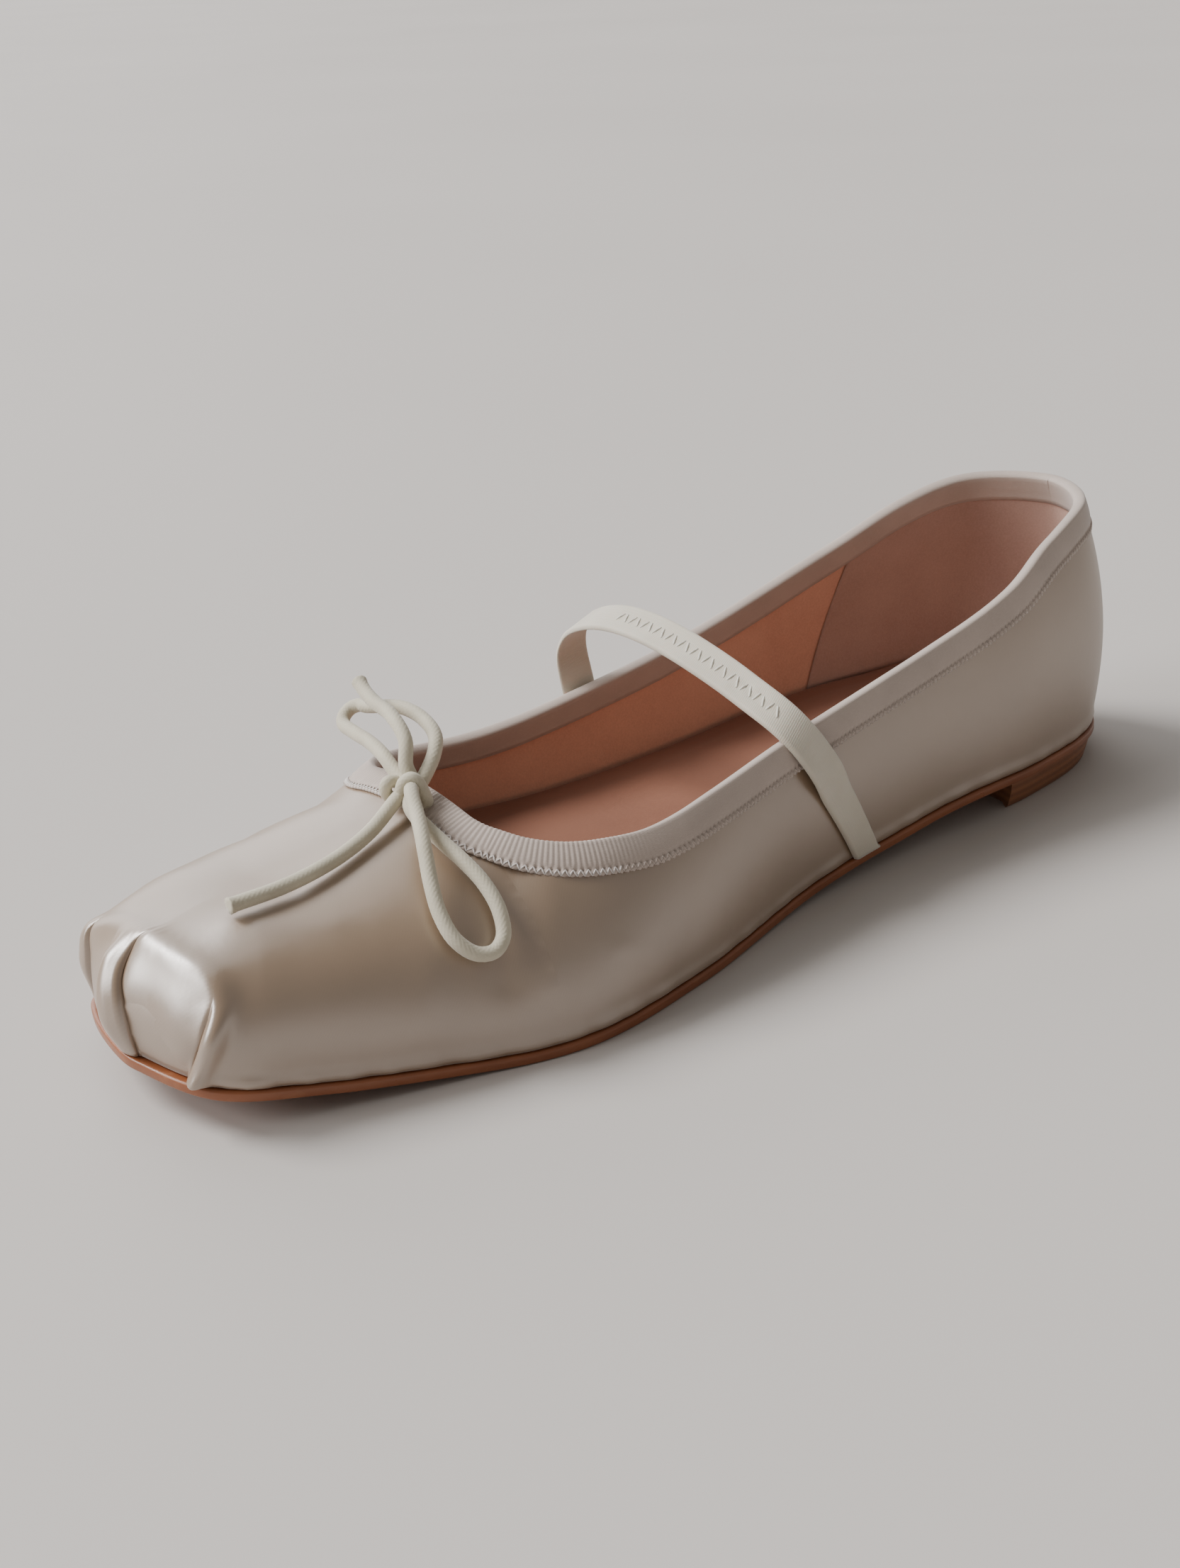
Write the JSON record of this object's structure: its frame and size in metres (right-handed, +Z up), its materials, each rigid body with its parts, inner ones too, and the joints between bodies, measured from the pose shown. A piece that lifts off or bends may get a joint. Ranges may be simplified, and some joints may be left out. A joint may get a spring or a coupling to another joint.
{
  "type": "ballet flat",
  "caption": "Square-toed ballet flat in satin with a pleated toe, a ribbon-bound collar, an elastic instep strap and a small cord bow at the throat.",
  "frame": {"origin": "On the floor under the middle of the forefoot's tread", "axes": "+X towards the toe, +Y towards the wearer's left, which is the inner side of this right shoe, +Z up"},
  "size_m": [0.247, 0.0861, 0.0608],
  "materials": {
    "sole_leather": "satin",
    "heel_block": "satin",
    "insole_leather": "matte",
    "satin": "satin",
    "grosgrain": "satin",
    "elastic": "matte",
    "braided_cord": "matte"
  },
  "bodies": {
    "root": {"outsole": "sole_leather", "heel": "heel_block", "insole": "insole_leather", "upper": "satin", "topline_binding": "grosgrain", "instep_strap": "elastic", "bow_knot": "braided_cord", "bow_loop_inner": "braided_cord", "bow_loop_outer": "braided_cord", "bow_tail_front": "braided_cord", "bow_tail_back": "braided_cord"}
  },
  "joints": []
}
